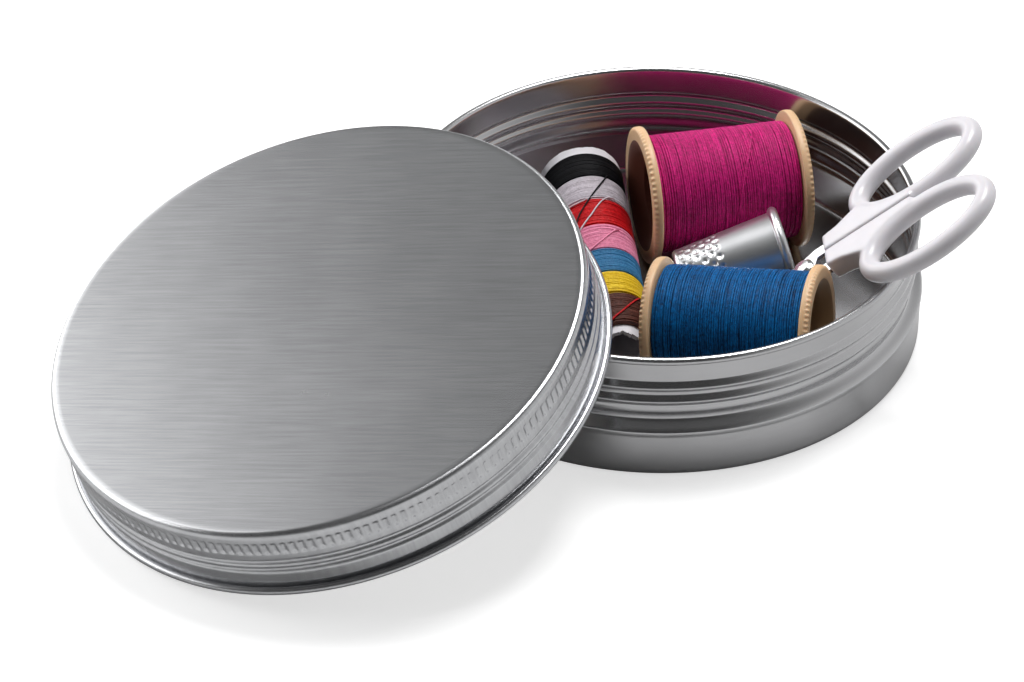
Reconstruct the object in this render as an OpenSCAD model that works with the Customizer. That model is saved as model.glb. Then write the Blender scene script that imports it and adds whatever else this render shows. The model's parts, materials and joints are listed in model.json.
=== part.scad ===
// Round screw-top sewing tin, standing open with its lid leaning on the rim
// and a small sewing kit lying inside. Sizes are in millimetres.
// The origin is the centre of the tin's underside, and +Z is up.

/* [Tin] */
// Outside diameter over the rolled rim
rim_d = 99.6; // [99:0.2:125]
// Height of the tin without its lid
tin_h = 25.8; // [24.6:0.2:32]
// Thickness of the sheet metal
sheet_t = 0.4; // [0.3:0.05:0.6]
// Thickness of the rolled rim, which curls outwards
rim_roll_d = 1.5; // [1:0.1:2]
// Radius by which the lower body stands out past the rim
body_proud = 0.9; // [0.7:0.1:2]
// Height of the plain lower body
body_h = 9; // [6:0.2:10]
// Radius of the rounded corner at the foot
foot_r = 1.5; // [0.8:0.1:3]
// Height by which the stop bead stands out past the lower body
stop_bead_h = 0.2; // [0.1:0.05:0.5]
// Height by which each thread ridge stands out of the neck
thread_h = 0.9; // [0.5:0.05:1]
// Distance between the two thread ridges
thread_pitch = 3; // [2.4:0.1:3.4]
// Drop from the top of the rim to the upper thread ridge
thread_drop = 6.7; // [5:0.1:7]

/* [Lid] */
// Height of the lid
lid_h = 15; // [12:0.2:17]
// Gap between the rolled rim and the inside of the lid
lid_fit = 0.3; // [0.2:0.05:1]
// Radius of the rounded shoulder of the lid
shoulder_r = 1.2; // [0.8:0.1:2]
// Thickness of the curl along the open edge of the lid
curl_d = 1.4; // [1:0.1:1.8]
// Distance by which the curl stands out past the skirt
curl_proud = 1.3; // [1:0.1:2]
// Number of slots in the knurled grip band
grip_slots = 190; // [60:1:240]
// Height of the grip band
grip_h = 3; // [1.5:0.1:4]
// Depth of each slot of the grip band
grip_depth = 0.15; // [0.05:0.05:0.25]
// Depth of the two grooves that form the thread of the lid
groove_depth = 0.5; // [0.2:0.05:0.6]
// Thickness of the sealing disc inside the lid
liner_t = 1.2; // [0.6:0.1:2]
// Distance from the tin's axis to the middle of the lid's open edge
lean_reach = 71.5; // [69:0.5:90]
// Direction in which the lid lies from the tin
lean_turn = -147; // [-180:1:-140]

/* [Thread reels] */
// Diameter of the flanges of the magenta reel
magenta_flange_d = 27.2; // [25.4:0.2:27.6]
// Diameter of the flanges of the blue reel
blue_flange_d = 24.4; // [23:0.2:25]
// Length of both reels
reel_l = 32; // [28:0.2:32.6]
// Thickness of a flange at its rim
flange_t = 1.8; // [1.4:0.1:2.6]
// Diameter of the barrel that carries the thread
barrel_d = 17; // [13:0.2:17.6]
// Wall of the barrel
barrel_wall = 1.2; // [0.9:0.1:2]
// Width of the ring face around the flared mouth of the bore
mouth_land = 2.4; // [1.5:0.1:3]
// Diameter over the magenta thread
magenta_thread_d = 23.4; // [21:0.2:24]
// Diameter over the blue thread
blue_thread_d = 22; // [20.6:0.2:22.6]
// Diameter of the turns in the outer layer of thread
turn_d = 1.2; // [0.8:0.1:1.4]
// Number of small teeth around each flange
flange_teeth = 90; // [24:1:100]
// Depth of the teeth around the flange
tooth_depth = 0.3; // [0.1:0.05:0.5]

/* [Striped cop] */
// Length of the paper tube
cop_l = 57; // [50:0.5:58]
// Diameter over the thread at the thick rear end
cop_rear_d = 17.2; // [15:0.2:17.6]
// Diameter over the thread at the slim front end
cop_front_d = 12.8; // [11:0.2:13.2]
// Thickness of the wound thread
cop_wound_t = 1.5; // [1.5:0.1:2]
// Diameter of the turns in the outer layer of the stripes
cop_turn_d = 0.9; // [0.7:0.1:1]
// Wall of the paper tube
cop_wall = 0.8; // [0.5:0.1:1.2]
// Bare paper at the front end
cop_front_bare = 3.2; // [2:0.1:6]
// Bare paper at the rear end
cop_rear_bare = 2.6; // [1:0.1:4]

/* [Thimble] */
// Height of the thimble
thimble_h = 22; // [18:0.5:22.5]
// Diameter over the rolled rim of the thimble
thimble_rim_d = 17.6; // [15:0.2:17.8]
// Diameter at the closed end
thimble_tip_d = 12.6; // [10:0.2:13]
// Wall of the thimble
thimble_wall = 0.7; // [0.5:0.05:1.2]

/* [Scissors] */
// Length of the blades from the rivet to the points
blade_l = 26; // [20:0.5:26]
// Width of each blade at the rivet
blade_w = 5; // [4:0.1:5.4]
// Thickness of each blade
blade_t = 0.9; // [0.6:0.05:1.2]
// Diameter of the rivet's pin
rivet_d = 2; // [1.5:0.1:2.5]
// Diameter of the rivet's domed head
rivet_head_d = 4.4; // [3:0.1:5]
// Distance from the rivet to the plastic handles
handle_start = 5.4; // [4:0.1:6]
// Width of the shank of one handle
shank_w = 4.6; // [3.6:0.1:5.4]
// Thickness of the shanks
shank_t = 4.4; // [3.6:0.1:5]
// Thickness of the finger loops
loop_t = 4; // [3:0.1:4.4]
// Length of a finger loop, along its middle line
loop_l = 26; // [21:0.2:27]
// Width of a finger loop, along its middle line
loop_w = 15.4; // [12:0.2:16]
// Distance from the front of the handles to the middle of a finger loop
loop_reach = 21; // [20:0.2:23]

/* [Fits] */
// Gap between loose pieces that touch
rest_gap = 0.3; // [0.2:0.05:0.4]
// Gap of a running fit
run_gap = 0.1; // [0.05:0.05:0.2]

/* [Hidden] */
$fn = 96;

// Tin, worked out from its driving sizes
rim_r = rim_d / 2;
neck_r = rim_r - rim_roll_d + sheet_t;
body_r = rim_r + body_proud;
inner_r = neck_r - sheet_t;
stop_z = body_h + 1;
stop_fall = 2;
ridge_w = 2.6;
band_z = stop_z + stop_fall + 2.1;
band_w = 3.6;
band_h = 0.4;
ridge_top_z = tin_h - thread_drop;
wall_top = tin_h - rim_roll_d / 2;
wall_steps = 60;

// Lid, in its own frame with the open edge at z = 0
lid_r = rim_r + lid_fit + sheet_t;
curl_r = lid_r + curl_proud;
grip_top = lid_h - 2.2;
groove_w = 1.8;
groove_zs = [lid_h - 7.4, lid_h - 9.4];
lid_inner_z = lid_h - sheet_t;

// Contents
floor_z = sheet_t;
magenta_flange_r = magenta_flange_d / 2;
blue_flange_r = blue_flange_d / 2;
magenta_wound_r = magenta_thread_d / 2;
blue_wound_r = blue_thread_d / 2;
barrel_r = barrel_d / 2;
bore_r = barrel_r - barrel_wall;

// Places of the contents, read from the picture and tied to each other
magenta_turn = 10.9;
magenta_x = 13;
blue_turn = -16.4;
blue_tilt = 7.3;
blue_x = 14.1;
thimble_turn = 7.9;
thimble_x = 25.6;
thimble_apart = 4.8;
scissors_turn = 1.1;
scissors_slope = 38.4;
scissors_apart = 4.9;
rivet_x = 27.6;
cop_turn = 7;
pin_gap = 0.08;

// A smooth ridge of height 1 and width w around zc
function ridge(z, zc, w) = abs(z - zc) < w / 2 ? pow(cos(180 * (z - zc) / w), 2) : 0;

// Outer radius of the tin's wall at height z, above the foot corner
function wall_r(z) =
  z <= body_h ? body_r
  : z <= stop_z ? body_r + stop_bead_h * sin(90 * (z - body_h) / (stop_z - body_h))
  : z <= stop_z + stop_fall
    ? neck_r + (body_r + stop_bead_h - neck_r) * pow(cos(90 * (z - stop_z) / stop_fall), 2)
  : neck_r + band_h * ridge(z, band_z, band_w)
    + thread_h * max(ridge(z, ridge_top_z, ridge_w), ridge(z, ridge_top_z - thread_pitch, ridge_w));

function foot_arc(r, corner) = [for (a = [0:15:90]) [r - corner + corner * sin(a), corner - corner * cos(a)]];

module tin_base() {
  zs = [for (i = [0:wall_steps]) body_h + (wall_top - body_h) * i / wall_steps];
  outer = concat(foot_arc(body_r, foot_r), [for (z = zs) [wall_r(z), z]]);
  inner = concat([for (i = [wall_steps:-1:0]) [wall_r(zs[i]) - sheet_t, zs[i]]],
    [for (a = [90:-15:0]) [body_r - foot_r + (foot_r - sheet_t) * sin(a), foot_r - (foot_r - sheet_t) * cos(a)]]);
  color("gainsboro") {
    rotate_extrude() polygon(concat([[0, 0]], outer, inner, [[0, sheet_t]]));
    translate([0, 0, wall_top])
      rotate_extrude() translate([rim_r - rim_roll_d / 2, 0]) circle(d = rim_roll_d, $fn = 24);
  }
}

// Outer radius of the lid's skirt at height z of the lid's own frame
function skirt_r(z) = lid_r - groove_depth * max([for (g = groove_zs) ridge(z, g, groove_w)]);

// Tilt of the leaning lid: its curl stands on the ground and touches the tin's rim
function lean_crossing(t) =
  let (s = pow(curl_r * sin(t), 2), b = lean_reach * curl_r * cos(t),
    k = pow(lean_reach, 2) + pow(curl_r, 2) - pow(rim_r - rim_roll_d / 2, 2))
  (sqrt(b * b + s * k) - b) / s;
function curl_drop(t) = curl_d / 2 * (sin(t) + cos(t) - 1);
function lean_rise(t) = curl_r * sin(t) * (1 + lean_crossing(t)) - curl_drop(t);
function solve_tilt(lo, hi, n) =
  n == 0 ? (lo + hi) / 2
  : let (mid = (lo + hi) / 2)
    lean_rise(mid) < tin_h + rest_gap + 0.25 ? solve_tilt(mid, hi, n - 1) : solve_tilt(lo, mid, n - 1);
lean_tilt = solve_tilt(2, 40, 30);

module in_lid_place() {
  rotate([0, 0, lean_turn])
    translate([lean_reach, 0, curl_r * sin(lean_tilt) - curl_drop(lean_tilt)])
      rotate([0, lean_tilt, 0])
        children();
}

module lid_shell() {
  top_z = lid_h - shoulder_r;
  steps = 44;
  curl_z = curl_d / 2;
  zs = [for (i = [0:steps]) curl_z + (top_z - curl_z) * i / steps];
  outer = concat([for (z = zs) [skirt_r(z), z]],
    [for (a = [15:15:90]) [lid_r - shoulder_r + shoulder_r * cos(a), top_z + shoulder_r * sin(a)]]);
  inner = concat(
    [for (a = [90:-15:15]) [lid_r - shoulder_r + (shoulder_r - sheet_t) * cos(a),
      top_z + (shoulder_r - sheet_t) * sin(a)]],
    [for (i = [steps:-1:0]) [skirt_r(zs[i]) - sheet_t, zs[i]]]);
  slot_w = 0.55 * 360 / grip_slots;
  in_lid_place() color("silver") {
    difference() {
      rotate_extrude() polygon(concat([[0, lid_h]], [for (i = [len(outer) - 1:-1:0]) outer[i]],
        [for (i = [len(inner) - 1:-1:0]) inner[i]], [[0, lid_inner_z]]));
      for (i = [0:grip_slots - 1])
        rotate([0, 0, 360 * i / grip_slots])
          translate([lid_r - grip_depth, -lid_r * sin(slot_w / 2), grip_top - grip_h])
            cube([1, 2 * lid_r * sin(slot_w / 2), grip_h]);
    }
    // The curl is rolled outwards, joined to the skirt by its flared lip
    rotate_extrude() {
      translate([curl_r - curl_d / 2, curl_z]) circle(d = curl_d, $fn = 24);
      translate([lid_r - sheet_t, curl_z - sheet_t / 2])
        square([curl_r - curl_d / 2 - lid_r + sheet_t, sheet_t]);
    }
  }
}

module lid_liner() {
  in_lid_place() color("white")
    translate([0, 0, lid_inner_z - rest_gap - liner_t])
      cylinder(r = lid_r - sheet_t - groove_depth - rest_gap, h = liner_t);
}

// Direction vectors of a line with a compass turn and an upward tilt
function along(turn, tilt) = [cos(tilt) * cos(turn), cos(tilt) * sin(turn), sin(tilt)];

// Offsets of the rims of a reel's two flanges from its middle
function flange_marks(turn, tilt, flange_r) =
  let (across = [-sin(turn), cos(turn), 0], up = [-sin(tilt) * cos(turn), -sin(tilt) * sin(turn), cos(tilt)])
  [for (s = [-1, 1], a = [0:6:354])
    s * reel_l / 2 * along(turn, tilt) + flange_r * (cos(a) * across + sin(a) * up)];

// The blue reel stands on its left flange, and its right flange leans on the front wall
blue_z = floor_z + rest_gap + blue_flange_r * cos(blue_tilt) + reel_l / 2 * sin(blue_tilt);
blue_y = max([for (m = flange_marks(blue_turn, blue_tilt, blue_flange_r)) let (z = blue_z + m[2])
  z > tin_h + 0.5 ? -1000
  : -sqrt(pow(wall_r(min(z, wall_top)) - sheet_t - rest_gap - 0.15, 2) - pow(blue_x + m[0], 2)) - m[1]]);

// The scissors lie behind the blue reel with their points down and a loop on the rim
slope_dir = along(scissors_turn, scissors_slope);
rivet_y = blue_y - (rivet_x - blue_x) * tan(-blue_turn) + blue_wound_r / cos(blue_turn) + scissors_apart;
point_drop = (blade_l + 0.2) * sin(scissors_slope) + (blade_t + run_gap) * cos(scissors_slope);
rivet_z = max(floor_z + rest_gap + point_drop, loop_rest_z());

// Height of the rivet at which the lower loop clears the rim, tried along the loop
function loop_mark(a) = [handle_start + loop_reach + loop_l / 2 * cos(a), -(loop_w / 2 + loop_t / 2 + rest_gap / 2 + loop_w / 2 * sin(a))];
function loop_rest_z() =
  let (s = [cos(scissors_slope) * cos(scissors_turn), cos(scissors_slope) * sin(scissors_turn)],
    w = [-sin(scissors_turn), cos(scissors_turn)], reach = (rim_roll_d + loop_t) / 2 + rest_gap)
  max([for (a = [0:3:357])
    let (m = loop_mark(a), x = rivet_x + m[0] * s[0] + m[1] * w[0], y = rivet_y + m[0] * s[1] + m[1] * w[1],
      e = norm([x, y]) - (rim_r - rim_roll_d / 2))
    abs(e) < reach ? wall_top + sqrt(reach * reach - e * e) - m[0] * sin(scissors_slope) : -100]);

// The thimble lies behind the scissors
thimble_rim_r = thimble_rim_d / 2;
thimble_tip_r = thimble_tip_d / 2;
thimble_tilt = 15.3;
thimble_y = rivet_y + (thimble_x - rivet_x) * tan(scissors_turn) + blade_w / 2 + thimble_rim_r + thimble_apart;
thimble_z = floor_z + rest_gap + thimble_tip_r * cos(thimble_tilt) - 0.25 + thimble_h * sin(thimble_tilt);

// The magenta reel lies behind the thimble, on the floor
magenta_z = floor_z + rest_gap + magenta_flange_r;
magenta_y = thimble_y + thimble_rim_r + rest_gap + 0.2 + magenta_wound_r / cos(magenta_turn)
  - (thimble_x - magenta_x) * tan(magenta_turn);

// The cop lies along the outer face of the magenta reel's left flange
cop_front_r = cop_front_d / 2;
cop_rear_r = cop_rear_d / 2;
cop_taper = atan((cop_rear_r - cop_front_r) / cop_l);

// Rear edge of the flange that the cop rests against, at the height of the cop's axis
flange_edge = sqrt(pow(magenta_flange_r, 2) - pow(magenta_z - floor_z - rest_gap - cop_rear_r, 2));
cop_rear_x = magenta_x - reel_l / 2 * cos(magenta_turn) - flange_edge * sin(magenta_turn) - rest_gap - 0.15 - cop_rear_r / cos(cop_turn);
cop_rear_y = magenta_y - reel_l / 2 * sin(magenta_turn) + flange_edge * cos(magenta_turn) + 1;

module on_line(place, turn, tilt) {
  translate(place) rotate([0, 90 - tilt, turn]) children();
}

// Outline of the toothed outer edge of a flange
function tooth_marks(flange_r) = [for (i = [0:flange_teeth - 1], k = [[0, 0], [0.25, 1], [0.5, 1], [0.75, 0]])
  let (a = 360 * (i + k[0]) / flange_teeth, r = flange_r - 0.05 - tooth_depth * k[1]) [r * cos(a), r * sin(a)]];

// One reel, with its middle at the origin and its axis along Z
module reel(flange_r) {
  h = reel_l / 2;
  mouth_r = flange_r - mouth_land;
  t = flange_t;
  flare = 2.5;
  step_r = flange_r - 0.8;
  half = [[bore_r, h - flare], [mouth_r, h], [step_r, h], [step_r, h - t / 2], [flange_r, h - t / 2],
    [flange_r, h - t], [barrel_r, h - t]];
  color("burlywood") {
    rotate_extrude() polygon(concat(half, [for (i = [len(half) - 1:-1:0]) [half[i][0], -half[i][1]]]));
    for (s = [0, 1]) mirror([0, 0, s])
      translate([0, 0, h - t * 0.55]) difference() {
        linear_extrude(t * 0.55) polygon(tooth_marks(flange_r));
        translate([0, 0, -1]) cylinder(r = step_r - 0.3, h = t + 2);
      }
  }
}

// Points of one ring of a tube around the point p, with the tube running along d
function ring_points(p, d, r, sides) =
  let (side = cross(d, abs(d[2]) < 0.9 ? [0, 0, 1] : [1, 0, 0]), u = side / norm(side), v = cross(u, d))
  [for (k = [0:sides - 1]) p + r * (cos(360 * k / sides) * u + sin(360 * k / sides) * v)];

// A closed tube of flat faces along a list of points, with a direction for each point
module tube(points, dirs, r, sides) {
  n = len(points);
  rings = [for (i = [0:n - 1]) each ring_points(points[i], dirs[i], r, sides)];
  walls = [for (i = [0:n - 2], k = [0:sides - 1])
    let (a = i * sides + k, b = i * sides + (k + 1) % sides)
    each [[a, b, b + sides], [a, b + sides, a + sides]]];
  ends = [for (k = [1:sides - 2])
    each [[0, k + 1, k], [(n - 1) * sides, (n - 1) * sides + k, (n - 1) * sides + k + 1]]];
  polyhedron(points = rings, faces = concat(walls, ends));
}

// Middle line of the outer layer of turns around a cone from radius r0 to r1
function turn_point(t, r0, r1, z0, z1) =
  let (r = r0 + (r1 - r0) * t[0]) [r * cos(t[1]), r * sin(t[1]), z0 + (z1 - z0) * t[0]];
function unit(v) = v / norm(v);

// Outer layer of turns as one tube, its ends straight for one tube diameter
module turns(loops, steps, r0, r1, z0, z1, d) {
  n = loops * steps;
  mids = [for (i = [0:n]) turn_point([i / n, 360 * i / steps], r0, r1, z0, z1)];
  first = unit(mids[1] - mids[0]);
  last = unit(mids[n] - mids[n - 1]);
  points = concat([mids[0] - first * d], mids, [mids[n] + last * d]);
  dirs = concat([first, first], [for (i = [1:n - 1]) unit(mids[i + 1] - mids[i - 1])], [last, last]);
  tube(points, dirs, d / 2, 6);
}

wind_gap = 0.15;
reel_loops = 10;
reel_steps = 24;
band_loops = 2;
band_steps = 16;

// The lower layers of thread, as a plain sleeve round the barrel
module reel_core(tint, wound_r) {
  z_end = reel_l / 2 - flange_t - run_gap;
  color(tint) difference() {
    cylinder(r = wound_r - turn_d - wind_gap, h = 2 * z_end, center = true);
    cylinder(r = barrel_r + run_gap / 2, h = 3 * z_end, center = true);
  }
}

// The outer layer of thread, wound round the sleeve
module reel_turns(tint, wound_r) {
  z_last = reel_l / 2 - flange_t - run_gap - turn_d;
  color(tint) turns(reel_loops, reel_steps, wound_r - turn_d / 2, wound_r - turn_d / 2, -z_last, z_last, turn_d);
}

reel_turn_gap = 2 * (reel_l / 2 - flange_t - run_gap - turn_d) / reel_loops - turn_d;
echo(least_gap_between_reel_turns = reel_turn_gap);

module magenta_place() { on_line([magenta_x, magenta_y, magenta_z], magenta_turn, 0) children(); }
module blue_place() { on_line([blue_x, blue_y, blue_z], blue_turn, blue_tilt) children(); }
module magenta_reel() { magenta_place() reel(magenta_flange_r); }
module magenta_core() { magenta_place() reel_core("mediumvioletred", magenta_wound_r); }
module magenta_thread() { magenta_place() reel_turns("mediumvioletred", magenta_wound_r); }
module blue_reel() { blue_place() reel(blue_flange_r); }
module blue_core() { blue_place() reel_core("steelblue", blue_wound_r); }
module blue_thread() { blue_place() reel_turns("steelblue", blue_wound_r); }

// The cop's own frame: z runs along the tube from the front end to the rear end
module in_cop_place() {
  translate([cop_rear_x, cop_rear_y, 0]) rotate([0, 0, cop_turn])
    translate([0, -cop_l, floor_z + rest_gap + cop_front_r])
      rotate([-90 + cop_taper, 0, 0])
        children();
}

// Outer radius of the wound cop at distance z from the front end
function cop_r(z) = cop_front_r + (cop_rear_r - cop_front_r) * z / cop_l;

module cop_tube() {
  color("whitesmoke") in_cop_place() difference() {
    cylinder(r1 = cop_r(0) - cop_wound_t, r2 = cop_r(cop_l) - cop_wound_t, h = cop_l);
    translate([0, 0, -1])
      cylinder(r1 = cop_r(-1) - cop_wound_t - cop_wall, r2 = cop_r(cop_l + 1) - cop_wound_t - cop_wall, h = cop_l + 2);
  }
}

band_shares = [8, 6.5, 6.8, 7.6, 8, 7.1, 7.2];
band_total = 51.2;
band_room = cop_l - cop_front_bare - cop_rear_bare;
function band_start(i) = cop_front_bare + band_room / band_total * (i == 0 ? 0 : band_sum(i - 1));
function band_sum(i) = i < 0 ? 0 : band_shares[i] + band_sum(i - 1);

module cop_band(i, tint) {
  z0 = band_start(i) + run_gap / 2;
  z1 = band_start(i) + band_room / band_total * band_shares[i] - run_gap / 2;
  edge = cop_turn_d + 0.1;
  in_cop_place() color(tint) {
    difference() {
      translate([0, 0, z0])
        cylinder(r1 = cop_r(z0) - cop_turn_d - wind_gap, r2 = cop_r(z1) - cop_turn_d - wind_gap, h = z1 - z0);
      translate([0, 0, -1])
        cylinder(r1 = cop_r(-1) - cop_wound_t + run_gap / 2, r2 = cop_r(cop_l + 1) - cop_wound_t + run_gap / 2, h = cop_l + 2);
    }
    turns(band_loops, band_steps, cop_r(z0 + edge) - cop_turn_d / 2, cop_r(z1 - edge) - cop_turn_d / 2,
      z0 + edge, z1 - edge, cop_turn_d);
  }
}

module cop_brown() { cop_band(0, "saddlebrown"); }
module cop_yellow() { cop_band(1, "gold"); }
module cop_blue() { cop_band(2, "cornflowerblue"); }
module cop_pink() { cop_band(3, "hotpink"); }
module cop_red() { cop_band(4, "crimson"); }
module cop_white() { cop_band(5, "white"); }
module cop_black() { cop_band(6, "black"); }

module thimble() {
  roll = 1.6;
  color("lightgray") translate([thimble_x, thimble_y, thimble_z]) rotate([0, 90 - thimble_tilt, thimble_turn])
    rotate_extrude() polygon([
      [0, -thimble_h],
      [thimble_tip_r - 1, -thimble_h],
      [thimble_tip_r, 1 - thimble_h],
      [thimble_rim_r - 0.9, -roll],
      [thimble_rim_r, 0.3 - roll],
      [thimble_rim_r, -0.3],
      [thimble_rim_r - 0.4, 0],
      [thimble_rim_r - 0.9 - thimble_wall, 0],
      [thimble_rim_r - 0.9 - thimble_wall, -roll],
      [thimble_tip_r - thimble_wall, 1 - thimble_h],
      [thimble_tip_r - thimble_wall - 0.5, thimble_wall - thimble_h],
      [0, thimble_wall - thimble_h]]);
}

// The scissors' own frame: x from the rivet to the handles, y across, z out of the blades' faces
module in_scissors_place() {
  translate([rivet_x, rivet_y, rivet_z]) rotate([0, -scissors_slope, scissors_turn]) children();
}

// Plan outline of the solid shank between the rivet and the finger loop
function shank_marks(side) =
  let (x0 = handle_start, x1 = handle_start + loop_reach - loop_l / 2, y0 = rest_gap / 2, y1 = rest_gap / 2 + shank_w)
  [for (p = [[x0, y0], [x1 + 3, y0], [x1 + 2.2, y1 + 0.8], [x1 + 0.4, y1 + 3.4], [x1 - 2.4, y1 + 1.6], [x1 - 5, y1 + 0.2], [x0, y1 - 0.4]])
    [p[0], side * p[1]]];

module handle(side) {
  mid_x = handle_start + loop_reach;
  mid_y = loop_w / 2 + loop_t / 2 + rest_gap / 2;
  steps = 32;
  sides = 10;
  path = [for (i = [0:steps - 1])
    let (a = 360 * i / steps) [mid_x + loop_l / 2 * cos(a), side * (mid_y + loop_w / 2 * sin(a)), 0]];
  loop_points = [for (i = [0:steps - 1])
    each ring_points(path[i], unit(path[(i + 1) % steps] - path[(i + steps - 1) % steps]), loop_t / 2, sides)];
  loop_faces = [for (i = [0:steps - 1], k = [0:sides - 1])
    let (a = i * sides + k, b = i * sides + (k + 1) % sides,
      c = ((i + 1) % steps) * sides + (k + 1) % sides, d = ((i + 1) % steps) * sides + k)
    each [[a, b, c], [a, c, d]]];
  color("lavender") difference() {
    union() {
      polyhedron(points = loop_points, faces = loop_faces);
      translate([0, 0, -shank_t / 2]) linear_extrude(shank_t) polygon(shank_marks(side));
    }
    tang(side);
  }
}

tang_end = 12;
// The slot that the tang of a blade fills inside its handle
module tang(side) {
  z = side > 0 ? run_gap / 2 : -run_gap / 2 - blade_t;
  translate([handle_start - 0.1, side > 0 ? 0.9 : -0.9 - tang_w, z]) cube([tang_end - handle_start, tang_w, blade_t]);
}
tang_w = 2.6;

// A blade, from its point at negative x to the tang inside its handle
module blade(side) {
  z = side > 0 ? run_gap / 2 : -run_gap / 2 - blade_t;
  w = blade_w / 2;
  difference() {
    translate([0, 0, z]) linear_extrude(blade_t)
      polygon([
        [-blade_l, -side * 0.4],
        [-blade_l + 0.6, -side * 1.1],
        [-blade_l * 0.55, -side * w * 0.8],
        [0, -side * w],
        [2.4, -side * w * 0.55],
        [3.4, side * 0.9],
        [handle_start - 0.1 + tang_end - handle_start, side * 0.9],
        [handle_start - 0.1 + tang_end - handle_start, side * (0.9 + tang_w)],
        [3, side * (0.9 + tang_w)],
        [0, side * w],
        [-3, side * w * 0.6],
        [-blade_l * 0.8, side * 0.5]]);
    cylinder(d = rivet_d + 2 * (side > 0 ? 0 : pin_gap), h = 10, center = true);
  }
}

module handle_lower() { in_scissors_place() handle(-1); }
module handle_upper() { in_scissors_place() handle(1); }
module blade_lower() { color("silver") in_scissors_place() blade(-1); }
module blade_upper() { color("silver") in_scissors_place() blade(1); }

// The rivet is fast in the upper blade and turns in the lower one
module rivet() {
  h = run_gap / 2 + blade_t;
  color("gray") in_scissors_place() rotate_extrude() polygon([
    [0, -h - run_gap - 0.6],
    [rivet_head_d * 0.36, -h - run_gap - 0.6],
    [rivet_head_d * 0.42, -h - run_gap - 0.3],
    [rivet_head_d * 0.42, -h - run_gap],
    [rivet_d / 2, -h - run_gap],
    [rivet_d / 2, h],
    [rivet_head_d / 2, h],
    [rivet_head_d / 2, h + 0.3],
    [rivet_head_d * 0.36, h + 0.8],
    [0, h + 1]]);
}

tin_base();
lid_shell();
lid_liner();
magenta_reel();
magenta_core();
magenta_thread();
blue_reel();
blue_core();
blue_thread();
cop_tube();
cop_black();
cop_white();
cop_red();
cop_pink();
cop_blue();
cop_yellow();
cop_brown();
thimble();
handle_lower();
handle_upper();
blade_lower();
blade_upper();
rivet();
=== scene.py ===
"""Looks of the round sewing tin: metal, wound thread, plastic reels, thimble and small scissors.

Lengths are written in millimetres and turned into metres where a mesh is made.
The stage, the lamps and the camera are placed in metres.
"""
import json
import math
from functools import partial

import bpy
import numpy as np
from mathutils import Matrix, Vector


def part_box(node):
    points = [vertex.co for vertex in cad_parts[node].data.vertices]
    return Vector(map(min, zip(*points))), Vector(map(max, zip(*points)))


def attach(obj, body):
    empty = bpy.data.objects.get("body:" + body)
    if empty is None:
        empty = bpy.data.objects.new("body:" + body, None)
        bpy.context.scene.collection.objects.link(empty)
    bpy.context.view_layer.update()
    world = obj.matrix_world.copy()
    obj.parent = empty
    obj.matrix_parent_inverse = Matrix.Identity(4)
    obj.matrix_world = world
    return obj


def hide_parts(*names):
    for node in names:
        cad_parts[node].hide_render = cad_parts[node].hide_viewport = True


MM = 0.001
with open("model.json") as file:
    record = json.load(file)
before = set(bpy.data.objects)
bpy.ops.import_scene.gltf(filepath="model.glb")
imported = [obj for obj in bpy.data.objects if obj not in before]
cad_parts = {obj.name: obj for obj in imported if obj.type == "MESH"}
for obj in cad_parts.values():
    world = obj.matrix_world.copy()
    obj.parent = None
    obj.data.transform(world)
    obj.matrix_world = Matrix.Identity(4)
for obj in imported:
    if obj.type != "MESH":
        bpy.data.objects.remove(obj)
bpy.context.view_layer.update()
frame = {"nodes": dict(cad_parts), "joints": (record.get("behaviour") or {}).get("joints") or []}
scene = bpy.context.scene
rng = np.random.default_rng(7)

# Sizes of the tin, as in the part's source
TIN_H, RIM_R, SHEET, ROLL_R = 25.8, 49.8, 0.4, 0.75
NECK_R = RIM_R - 2 * ROLL_R + SHEET
BODY_R, BODY_H, FOOT_R = RIM_R + 0.9, 9.0, 1.5
STOP_Z, STOP_FALL, STOP_BEAD = BODY_H + 1, 2, 0.2
BAND_Z, BAND_W, BAND_H = 14.1, 3.6, 0.4
RIDGE_Z, RIDGE_PITCH, RIDGE_W, RIDGE_H = TIN_H - 6.7, 3, 2.6, 0.9

# Sizes and lean of the lid
LID_H, LID_R, SHOULDER, CURL_R, CURL_TUBE = 15.0, 50.5, 1.2, 51.8, 0.7
LEAN_REACH, LEAN_TURN, LEAN_TILT = 71.5, -147.0, 17.0833
GRIP_TOP, GRIP_LOW, GRIP_SLOTS, SLOT_DEPTH = LID_H - 2.2, LID_H - 5.2, 190, 0.27
GROOVE_TOP_Z, GROOVE_LOW_Z, GROOVE_W, GROOVE_DEPTH = LID_H - 7.4, LID_H - 9.4, 1.8, 0.5
BRUSHED_ALONG = (1, -0.24, 0)

# Sizes of the reels
REEL_L, FLANGE_T, BARREL_R, BORE_R, MOUTH_LAND = 32.0, 1.8, 8.5, 7.3, 2.4
FLANGE_R = {"magenta": 13.6, "blue": 12.2}
THREAD_R = {"magenta": 11.7, "blue": 11.0}
MAGENTA_TURN, BLUE_TURN, BLUE_TILT = 10.9, -16.4, 7.3
MOUTH_DEPTH, TEETH, TOOTH_DEPTH = 2.5, 76, 0.30
# The flange's outer edge, from its face back: how far in, how far back, and how deep the teeth are there
FLANGE_EDGE = [(0.42, 0.05, 0.6), (0.14, 0.22, 1.0), (0.06, 0.5, 0.6), (0.04, 0.72, 0.12), (0.02, 0.86, 0)]
# The winding reaches almost to the flanges and falls off over its last turns
WOUND_END, FALL_L = REEL_L / 2 - FLANGE_T - 0.12, 1.6
END_FALL = {"magenta": 0.15, "blue": 0.35}
REEL_PITCH, REEL_THREAD_D, SLEEVE_T = 0.44, 0.43, 0.9

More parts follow.
